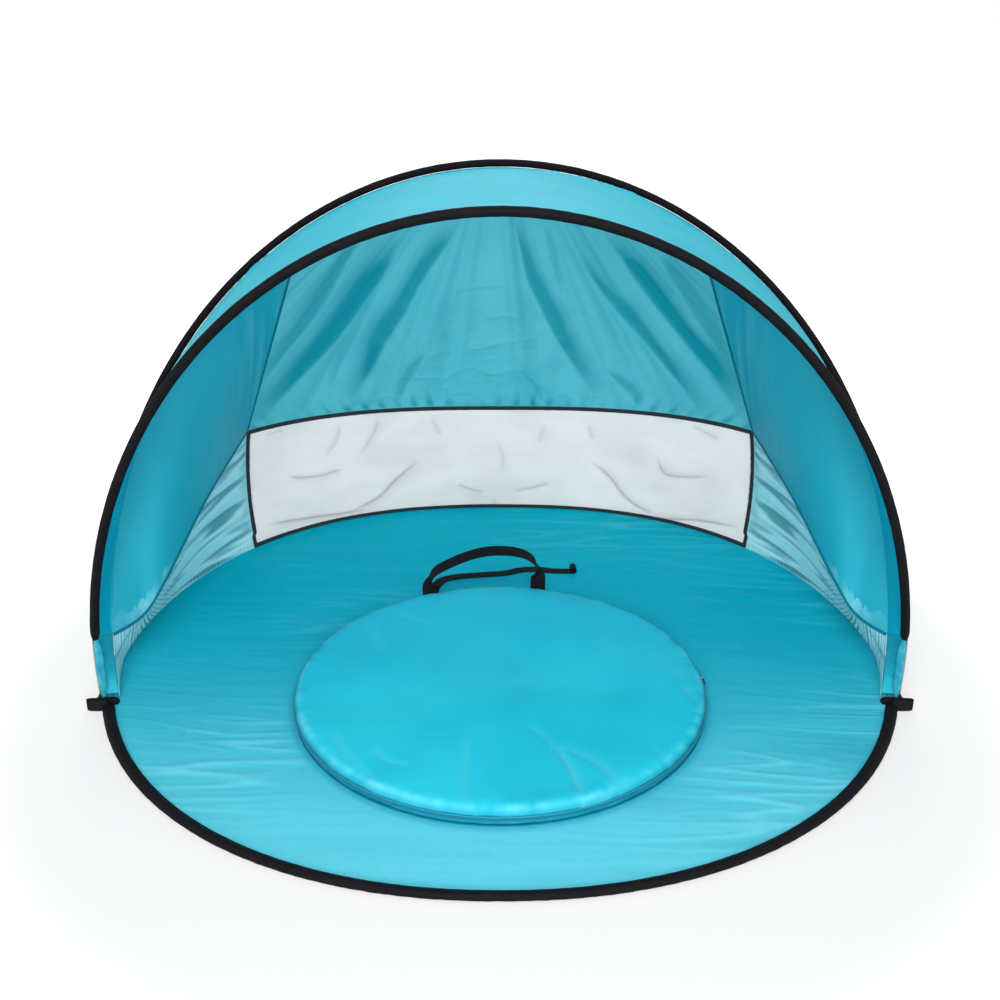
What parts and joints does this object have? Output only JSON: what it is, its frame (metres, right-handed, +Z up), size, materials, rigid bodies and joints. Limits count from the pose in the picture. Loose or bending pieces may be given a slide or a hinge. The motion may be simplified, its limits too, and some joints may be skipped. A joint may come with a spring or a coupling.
{
  "type": "pop-up play tent",
  "caption": "Half-dome pop-up play tent with two sprung hoops in black sleeves, an open front, a rear window strip, a round floor and a flat round carry bag.",
  "frame": {"origin": "midway between the two side corners, on the ground under the floor sheet", "axes": "+X across the entrance, +Y from the open front to the back, +Z up"},
  "size_m": [1.268, 1.169, 0.8002],
  "materials": {
    "floor_sheet": "thin coated woven cloth",
    "front_floor_sleeve": "black woven webbing or sleeve cloth",
    "rear_floor_sleeve": "black woven webbing or sleeve cloth",
    "front_floor_wire": "drawn spring steel",
    "rear_floor_wire": "drawn spring steel",
    "front_floor_ferrule": "drawn spring steel",
    "rear_floor_ferrule": "drawn spring steel",
    "left_corner_roll": "black woven webbing or sleeve cloth",
    "right_corner_roll": "black woven webbing or sleeve cloth",
    "left_peg_loop": "black woven webbing or sleeve cloth",
    "right_peg_loop": "black woven webbing or sleeve cloth",
    "back_panel": "thin coated woven cloth",
    "window_panel": "frosted flexible film",
    "window_binding_top": "black woven webbing or sleeve cloth",
    "window_binding_bottom": "black woven webbing or sleeve cloth",
    "window_binding_left": "black woven webbing or sleeve cloth",
    "window_binding_right": "black woven webbing or sleeve cloth",
    "left_side_panel": "thin coated woven cloth",
    "right_side_panel": "thin coated woven cloth",
    "left_lower_gusset": "thin coated woven cloth",
    "right_lower_gusset": "thin coated woven cloth",
    "rear_arch_sleeve": "black woven webbing or sleeve cloth",
    "rear_arch_wire": "drawn spring steel",
    "roof_band": "thin coated woven cloth",
    "left_corner_gusset": "thin coated woven cloth",
    "right_corner_gusset": "thin coated woven cloth",
    "front_arch_sleeve": "black woven webbing or sleeve cloth",
    "front_arch_wire": "drawn spring steel",
    "left_arch_pocket": "thin coated woven cloth",
    "right_arch_pocket": "thin coated woven cloth",
    "bag_bottom_panel": "thin coated woven cloth",
    "bag_top_panel": "thin coated woven cloth",
    "bag_side_band": "thin coated woven cloth",
    "bag_zip": "coil zip on tape",
    "left_handle_tab": "black woven webbing or sleeve cloth",
    "right_handle_tab": "black woven webbing or sleeve cloth",
    "bag_tie_strap": "black woven webbing or sleeve cloth",
    "tie_strap_roll": "black woven webbing or sleeve cloth",
    "bag_handle": "black woven webbing or sleeve cloth",
    "zip_slider": "satin",
    "zip_pull": "satin"
  },
  "bodies": {
    "floor": {"floor_sheet": "floor_sheet", "front_floor_sleeve": "front_floor_sleeve", "rear_floor_sleeve": "rear_floor_sleeve", "front_floor_wire": "front_floor_wire", "rear_floor_wire": "rear_floor_wire", "front_floor_ferrule": "front_floor_ferrule", "rear_floor_ferrule": "rear_floor_ferrule", "left_corner_roll": "left_corner_roll", "right_corner_roll": "right_corner_roll", "left_peg_loop": "left_peg_loop", "right_peg_loop": "right_peg_loop", "back_panel": "back_panel", "window_panel": "window_panel", "window_binding_top": "window_binding_top", "window_binding_bottom": "window_binding_bottom", "window_binding_left": "window_binding_left", "window_binding_right": "window_binding_right", "left_side_panel": "left_side_panel", "right_side_panel": "right_side_panel", "left_lower_gusset": "left_lower_gusset", "right_lower_gusset": "right_lower_gusset"},
    "rear_arch": {"rear_arch_sleeve": "rear_arch_sleeve", "rear_arch_wire": "rear_arch_wire", "roof_band": "roof_band", "left_corner_gusset": "left_corner_gusset", "right_corner_gusset": "right_corner_gusset"},
    "front_arch": {"front_arch_sleeve": "front_arch_sleeve", "front_arch_wire": "front_arch_wire", "left_arch_pocket": "left_arch_pocket", "right_arch_pocket": "right_arch_pocket"},
    "bag": {"bag_bottom_panel": "bag_bottom_panel", "bag_top_panel": "bag_top_panel", "bag_side_band": "bag_side_band", "bag_zip": "bag_zip", "left_handle_tab": "left_handle_tab", "right_handle_tab": "right_handle_tab", "bag_tie_strap": "bag_tie_strap", "tie_strap_roll": "tie_strap_roll"},
    "handle": {"bag_handle": "bag_handle"},
    "slider": {"zip_slider": "zip_slider"},
    "pull": {"zip_pull": "zip_pull"}
  },
  "joints": [
    {"name": "front_arch_fold", "type": "hinge", "parent": "floor", "child": "front_arch", "pos_m": [0, 0, 0.008], "axis": [-1, 0, 0], "range_deg": [0, 80], "stiffness_Nm_per_rad": 1.2, "springref_deg": -68.75, "deforming": ["back_panel", "window_panel", "window_binding_top", "window_binding_bottom", "window_binding_left", "window_binding_right", "left_side_panel", "right_side_panel", "left_lower_gusset", "right_lower_gusset", "roof_band", "left_corner_gusset", "right_corner_gusset"]},
    {"name": "rear_arch_fold", "type": "hinge", "parent": "floor", "child": "rear_arch", "pos_m": [0, 0, 0.008], "axis": [-1, 0, 0], "range_deg": [0, 56], "stiffness_Nm_per_rad": 1.2, "springref_deg": -68.75},
    {"name": "bag_lift", "type": "slide", "parent": "floor", "child": "bag", "axis": [0, 0, 1], "range_m": [0, 0.3]},
    {"name": "handle_swing", "type": "hinge", "parent": "bag", "child": "handle", "pos_m": [-0.02781, 0.32358, 0.0278], "axis": [-0.9959, -0.0906, 0], "range_deg": [-40, 95]},
    {"name": "zip_slide", "type": "hinge", "parent": "bag", "child": "slider", "pos_m": [0, 0.018, 0.0018], "axis": [0, 0, -1], "range_deg": [0, 194]},
    {"name": "pull_swing", "type": "hinge", "parent": "slider", "child": "pull", "pos_m": [0.3193, 0.05721, 0.01356], "axis": [0, 0, 1], "range_deg": [0, 165]}
  ],
  "couplings": [
    {"joint": "rear_arch_fold", "follows": "front_arch_fold", "ratio": 0.7}
  ]
}
